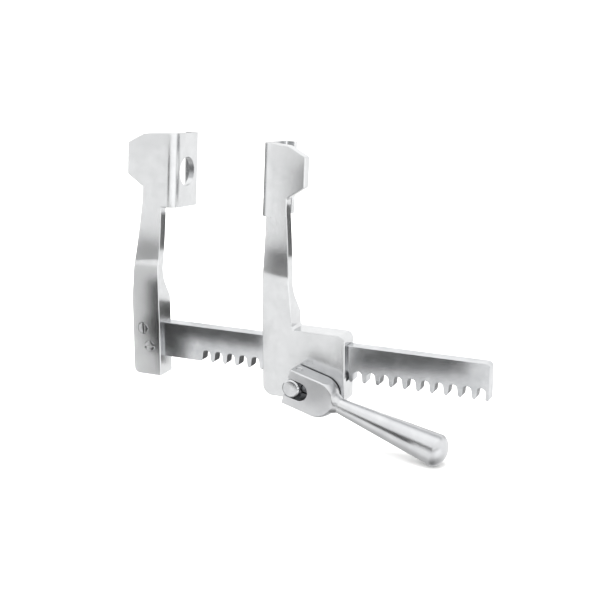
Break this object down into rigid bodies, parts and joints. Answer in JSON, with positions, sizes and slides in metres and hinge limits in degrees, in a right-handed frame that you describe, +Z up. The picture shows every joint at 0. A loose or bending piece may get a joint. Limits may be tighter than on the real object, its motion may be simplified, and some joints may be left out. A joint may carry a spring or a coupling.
{
  "type": "self retaining retractor",
  "caption": "Self-retaining rib spreader for children: toothed rack, fixed arm, crank-driven sliding arm, hooked blades with round windows, folding crank handle.",
  "frame": {"origin": "middle of the fixed arm's flat back face, at half the rack bar's height", "axes": "+X along the rack bar away from the fixed arm, +Y from the front to the back, the way the blades reach into the wound, +Z up the arms to the blades"},
  "size_m": [0.1547, 0.041, 0.1164],
  "materials": {
    "satin_steel": "satin, fine brushed stainless steel with bright edge bevels",
    "polished_steel": "polished stainless steel"
  },
  "bodies": {
    "frame": {"rack_bar": "satin_steel", "fixed_arm": "satin_steel", "fixed_arm_screw_upper": "satin_steel", "fixed_arm_screw_lower": "satin_steel"},
    "carriage": {"moving_arm": "satin_steel", "front_bush": "polished_steel", "rear_bearing_plate": "satin_steel", "bearing_plate_screw_left": "satin_steel", "bearing_plate_screw_right": "satin_steel"},
    "crank": {"pinion_shaft": "polished_steel", "hinge_pin": "polished_steel"},
    "handle": {"crank_handle": "satin_steel"}
  },
  "joints": [
    {"name": "carriage_slide", "type": "slide", "parent": "frame", "child": "carriage", "axis": [1, 0, 0], "range_m": [-0.0362, 0.0565]},
    {"name": "crank_spin", "type": "hinge", "parent": "carriage", "child": "crank", "pos_m": [0.06915, -0.0047, -0.00935], "axis": [0, 1, 0], "range_deg": [-745, 479]},
    {"name": "handle_fold", "type": "hinge", "parent": "crank", "child": "handle", "pos_m": [0.06915, -0.01427, -0.00935], "axis": [0.2723, 0, 0.9622], "range_deg": [-172, 0]}
  ],
  "couplings": [
    {"joint": "crank_spin", "follows": "carriage_slide", "rad_per_m": -228.48}
  ]
}
